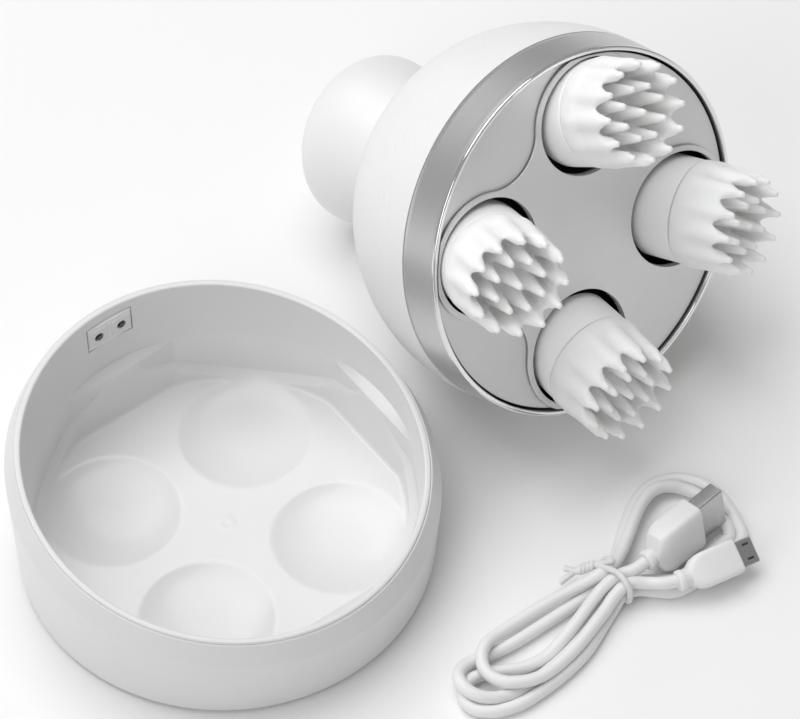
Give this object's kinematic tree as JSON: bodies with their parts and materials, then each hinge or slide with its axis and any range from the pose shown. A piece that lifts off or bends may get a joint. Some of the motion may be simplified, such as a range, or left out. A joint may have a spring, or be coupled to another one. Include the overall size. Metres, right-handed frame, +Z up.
{
  "type": "scalp massager brush",
  "caption": "Cordless round scalp massager with a knob handle and turning silicone claw heads on a silver face, with its bowl-shaped charging dock and tied USB lead.",
  "frame": {"origin": "centre of the dock's footprint, on the surface that everything stands on", "axes": "+Z up along the dock's axis; -Y towards the viewer; the massager and the lead lie on the +X side"},
  "size_m": [0.1942, 0.1857, 0.1056],
  "materials": {
    "white_gloss": "glossy moulded plastic",
    "white_matte": "fine satin moulded plastic",
    "satin_silver": "satin silver coating on plastic",
    "band_silver": "satin silver coating with a polished front edge",
    "silicone": "soft white silicone",
    "grey_plastic": "moulded plastic",
    "gear_plastic": "moulded gear plastic",
    "black_rubber": "rubber",
    "steel": "bare metal",
    "gold_contact": "gold plated",
    "board_green": "printed circuit board",
    "battery_wrap": "shrink-wrapped cell",
    "light_ring": "translucent plastic",
    "cord_white": "soft cable plastic"
  },
  "bodies": {
    "dock": {"dock_bowl": "white_gloss", "dock_shell": "white_gloss", "dock_base": "white_matte", "base_pad": "black_rubber", "contact_block": "white_gloss", "dock_board": "board_green", "usb_socket": "steel", "cable_hank": "cord_white", "twist_tie": "white_matte", "usb_a_body": "cord_white", "usb_a_shell": "steel", "micro_usb_body": "cord_white", "micro_usb_shell": "steel"},
    "contact_pin_body_1": {"contact_pin_1": "gold_contact"},
    "contact_pin_body_2": {"contact_pin_2": "gold_contact"},
    "massager": {"dome_housing": "white_matte", "knob_shell": "white_gloss", "light_ring": "light_ring", "tact_switch": "black_rubber", "switch_board": "board_green", "bezel_ring": "band_silver", "charge_contact_1": "gold_contact", "charge_contact_2": "gold_contact", "face_plate": "satin_silver", "clover_plate": "satin_silver", "shaft_seal_1": "black_rubber", "shaft_seal_2": "black_rubber", "shaft_seal_3": "black_rubber", "shaft_seal_4": "black_rubber", "chassis": "grey_plastic", "gearbox_cover": "grey_plastic", "gearbox_screw_1": "steel", "gearbox_screw_2": "steel", "gearbox_screw_3": "steel", "gearbox_screw_4": "steel", "motor": "steel", "reduction_pin": "steel", "battery": "battery_wrap", "control_board": "board_green", "housing_o_ring": "black_rubber"},
    "button": {"power_button": "white_gloss"},
    "drive_gears": {"sun_gear": "gear_plastic", "final_wheel": "gear_plastic"},
    "reduction": {"reduction_pinion": "gear_plastic", "reduction_wheel": "gear_plastic"},
    "rotor": {"motor_pinion": "gear_plastic"},
    "head_1": {"claw_seat_1": "white_gloss", "claw_1": "silicone", "head_gear_1": "gear_plastic"},
    "head_2": {"claw_seat_2": "white_gloss", "claw_2": "silicone", "head_gear_2": "gear_plastic"},
    "head_3": {"claw_seat_3": "white_gloss", "claw_3": "silicone", "head_gear_3": "gear_plastic"},
    "head_4": {"claw_seat_4": "white_gloss", "claw_4": "silicone", "head_gear_4": "gear_plastic"}
  },
  "joints": [
    {"name": "massager_lift", "type": "slide", "parent": "dock", "child": "massager", "axis": [0, 0, 1], "range_m": [0, 0.12]},
    {"name": "button_press", "type": "slide", "parent": "massager", "child": "button", "axis": [0.6162, -0.6844, 0.3897], "range_m": [0, 0.001], "stiffness_N_per_m": 1200, "springref_m": -0.0005},
    {"name": "head_1_spin", "type": "hinge", "parent": "massager", "child": "head_1", "pos_m": [0.11425, 0.07074, 0.04478], "axis": [0.6162, -0.6844, 0.3897], "continuous": true},
    {"name": "head_2_spin", "type": "hinge", "parent": "massager", "child": "head_2", "pos_m": [0.0907, 0.07041, 0.08143], "axis": [0.6162, -0.6844, 0.3897], "continuous": true},
    {"name": "head_3_spin", "type": "hinge", "parent": "massager", "child": "head_3", "pos_m": [0.06575, 0.03866, 0.06511], "axis": [0.6162, -0.6844, 0.3897], "continuous": true},
    {"name": "head_4_spin", "type": "hinge", "parent": "massager", "child": "head_4", "pos_m": [0.08929, 0.03899, 0.02846], "axis": [0.6162, -0.6844, 0.3897], "continuous": true},
    {"name": "drive_spin", "type": "hinge", "parent": "massager", "child": "drive_gears", "pos_m": [0.07891, 0.06702, 0.04793], "axis": [0.6162, -0.6844, 0.3897], "continuous": true},
    {"name": "reduction_spin", "type": "hinge", "parent": "massager", "child": "reduction", "pos_m": [0.08527, 0.08267, 0.04481], "axis": [0.6162, -0.6844, 0.3897], "continuous": true},
    {"name": "rotor_spin", "type": "hinge", "parent": "massager", "child": "rotor", "pos_m": [0.07151, 0.07523, 0.04326], "axis": [0.6162, -0.6844, 0.3897], "continuous": true},
    {"name": "contact_pin_1_slide", "type": "slide", "parent": "dock", "child": "contact_pin_body_1", "axis": [-0.6018, 0.7986, 0], "range_m": [0, 0.0006], "stiffness_N_per_m": 400, "springref_m": -0.0005},
    {"name": "contact_pin_2_slide", "type": "slide", "parent": "dock", "child": "contact_pin_body_2", "axis": [-0.6018, 0.7986, 0], "range_m": [0, 0.0006], "stiffness_N_per_m": 400, "springref_m": -0.0005}
  ],
  "couplings": [
    {"joint": "head_2_spin", "follows": "head_1_spin", "ratio": 1},
    {"joint": "head_3_spin", "follows": "head_1_spin", "ratio": 1},
    {"joint": "head_4_spin", "follows": "head_1_spin", "ratio": 1},
    {"joint": "drive_spin", "follows": "head_1_spin", "ratio": -0.69231},
    {"joint": "reduction_spin", "follows": "head_1_spin", "ratio": 1.1868},
    {"joint": "rotor_spin", "follows": "head_1_spin", "ratio": -3.3231}
  ]
}
